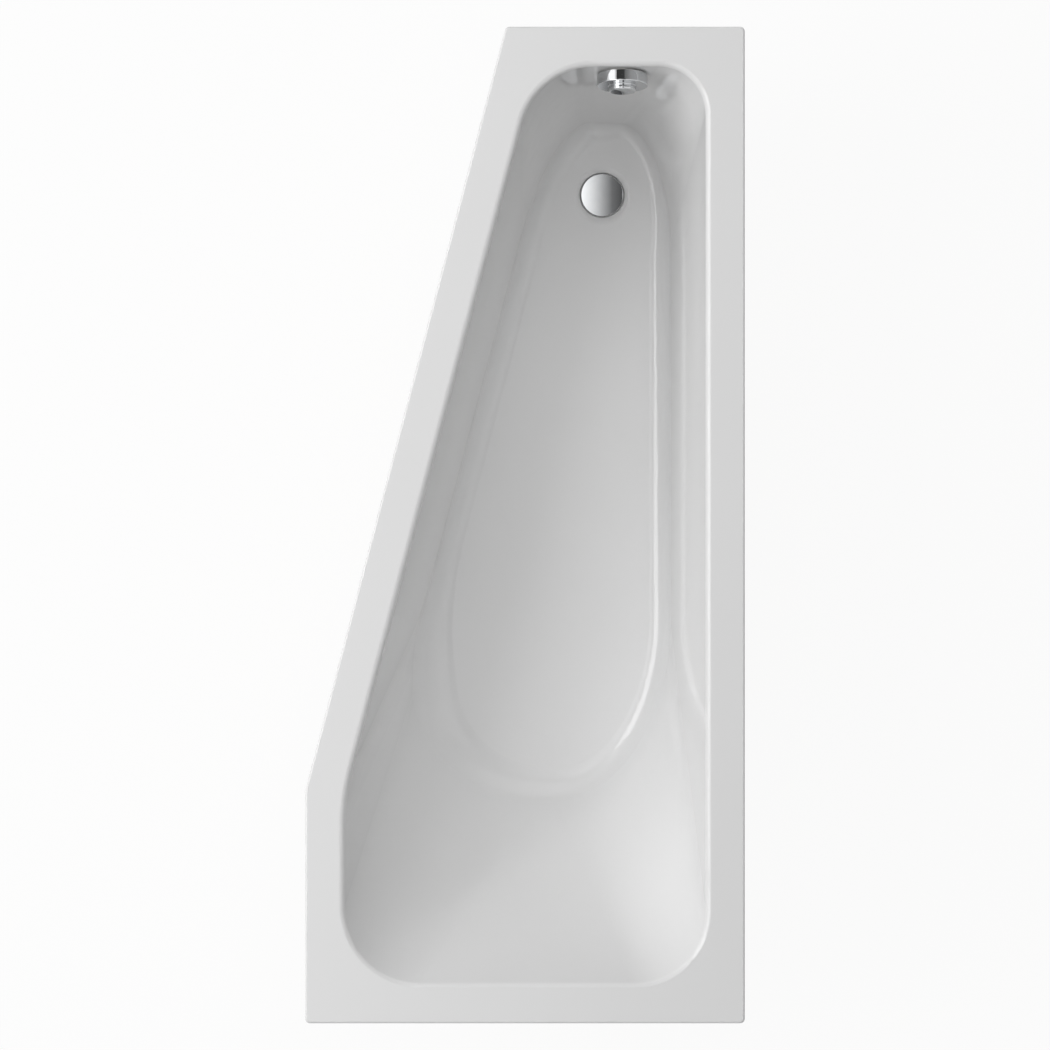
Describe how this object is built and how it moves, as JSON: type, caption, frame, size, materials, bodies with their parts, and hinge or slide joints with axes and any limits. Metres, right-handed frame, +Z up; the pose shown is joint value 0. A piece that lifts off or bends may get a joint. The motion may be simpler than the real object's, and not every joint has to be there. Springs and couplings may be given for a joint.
{
  "type": "asymmetric bathtub",
  "caption": "White acrylic bathtub with one slanted side, a sloping backrest, a flat rim, a turn-knob overflow that lifts the chrome drain plug, and a framed base on screw feet.",
  "frame": {"origin": "on the floor under the middle of the tub's outline", "axes": "+Z up, +Y along the length towards the drain end, +X towards the long straight wall side"},
  "size_m": [0.75, 1.7, 0.59],
  "materials": {
    "acrylic": "polished sanitary acrylic",
    "chipboard": "raw chipboard",
    "softwood": "sawn softwood",
    "galvanised_steel": "galvanised sheet",
    "zinc_steel": "zinc plated",
    "black_plastic": "moulded, matte",
    "stainless_steel": "satin",
    "chrome": "bright chrome plating",
    "brass": "turned",
    "white_plastic": "moulded, satin",
    "grey_plastic": "moulded, satin",
    "rubber": "matte"
  },
  "bodies": {
    "bath": {"base_board": "chipboard", "bath_shell": "acrylic", "batten_drain_end": "softwood", "batten_foot_end": "softwood", "batten_left_side": "softwood", "batten_slant_side": "softwood", "batten_wall_side": "softwood", "cable_ferrules": "zinc_steel", "cable_sheath": "black_plastic", "cable_wire": "stainless_steel", "drain_body": "white_plastic", "drain_body_gasket": "rubber", "drain_flange": "stainless_steel", "drain_flange_gasket": "rubber", "front_leg_rail": "galvanised_steel", "lever_axle": "stainless_steel", "lock_nuts": "zinc_steel", "outlet_nut": "white_plastic", "outlet_pipe": "white_plastic", "outlet_seal": "rubber", "overflow_body": "white_plastic", "overflow_flange": "white_plastic", "overflow_gasket": "rubber", "overflow_nut_lower": "white_plastic", "overflow_nut_upper": "white_plastic", "overflow_pipe": "white_plastic", "overflow_screws": "zinc_steel", "overflow_seals": "rubber", "rail_screws": "zinc_steel", "rear_leg_rail": "galvanised_steel", "trap_body": "white_plastic", "trap_nut": "white_plastic", "trap_seal": "rubber", "weld_nuts": "zinc_steel"},
    "knob": {"knob": "chrome", "knob_spindle": "brass", "knob_cam": "grey_plastic"},
    "lever": {"drain_lever": "grey_plastic"},
    "lift_pin": {"lift_pin": "stainless_steel"},
    "plug": {"plug_cover": "chrome", "plug_stem": "grey_plastic", "plug_seal": "rubber"},
    "foot_drain_left": {"foot_pad_drain_left": "black_plastic"},
    "leg_drain_left": {"leg_rod_drain_left": "zinc_steel"},
    "foot_drain_right": {"foot_pad_drain_right": "black_plastic"},
    "leg_drain_right": {"leg_rod_drain_right": "zinc_steel"},
    "foot_foot_left": {"foot_pad_foot_left": "black_plastic"},
    "leg_foot_left": {"leg_rod_foot_left": "zinc_steel"},
    "foot_foot_right": {"foot_pad_foot_right": "black_plastic"},
    "leg_foot_right": {"leg_rod_foot_right": "zinc_steel"}
  },
  "joints": [
    {"name": "knob_turn", "type": "hinge", "parent": "bath", "child": "knob", "pos_m": [0.167, 0.77509, 0.534], "axis": [0, -0.9876, 0.1571], "range_deg": [0, 90]},
    {"name": "lever_swing", "type": "hinge", "parent": "bath", "child": "lever", "pos_m": [0.097, 0.594, 0.106], "axis": [0, -1, 0], "range_deg": [0, 16.5]},
    {"name": "pin_lift", "type": "slide", "parent": "bath", "child": "lift_pin", "axis": [0, 0, 1], "range_m": [0, 0.012]},
    {"name": "plug_lift_out", "type": "slide", "parent": "lift_pin", "child": "plug", "axis": [0, 0, 1], "range_m": [0, 0.12]},
    {"name": "foot_height_drain_left", "type": "slide", "parent": "bath", "child": "foot_drain_left", "axis": [0, 0, -1], "range_m": [-0.008, 0.03]},
    {"name": "leg_screw_drain_left", "type": "hinge", "parent": "foot_drain_left", "child": "leg_drain_left", "pos_m": [-0.10136, 0.38, 0.05], "axis": [0, 0, -1], "range_deg": [-1925, 7205]},
    {"name": "foot_height_drain_right", "type": "slide", "parent": "bath", "child": "foot_drain_right", "axis": [0, 0, -1], "range_m": [-0.008, 0.03]},
    {"name": "leg_screw_drain_right", "type": "hinge", "parent": "foot_drain_right", "child": "leg_drain_right", "pos_m": [0.32, 0.38, 0.05], "axis": [0, 0, -1], "range_deg": [-1925, 7205]},
    {"name": "foot_height_foot_left", "type": "slide", "parent": "bath", "child": "foot_foot_left", "axis": [0, 0, -1], "range_m": [-0.008, 0.03]},
    {"name": "leg_screw_foot_left", "type": "hinge", "parent": "foot_foot_left", "child": "leg_foot_left", "pos_m": [-0.28772, -0.33, 0.05], "axis": [0, 0, -1], "range_deg": [-1925, 7205]},
    {"name": "foot_height_foot_right", "type": "slide", "parent": "bath", "child": "foot_foot_right", "axis": [0, 0, -1], "range_m": [-0.008, 0.03]},
    {"name": "leg_screw_foot_right", "type": "hinge", "parent": "foot_foot_right", "child": "leg_foot_right", "pos_m": [0.32, -0.33, 0.05], "axis": [0, 0, -1], "range_deg": [-1925, 7205]}
  ],
  "couplings": [
    {"joint": "lever_swing", "follows": "knob_turn", "ratio": 0.18333},
    {"joint": "pin_lift", "follows": "knob_turn", "m_per_rad": 0.0076394},
    {"joint": "leg_screw_drain_left", "follows": "foot_height_drain_left", "rad_per_m": 4188.8},
    {"joint": "leg_screw_drain_right", "follows": "foot_height_drain_right", "rad_per_m": 4188.8},
    {"joint": "leg_screw_foot_left", "follows": "foot_height_foot_left", "rad_per_m": 4188.8},
    {"joint": "leg_screw_foot_right", "follows": "foot_height_foot_right", "rad_per_m": 4188.8}
  ]
}
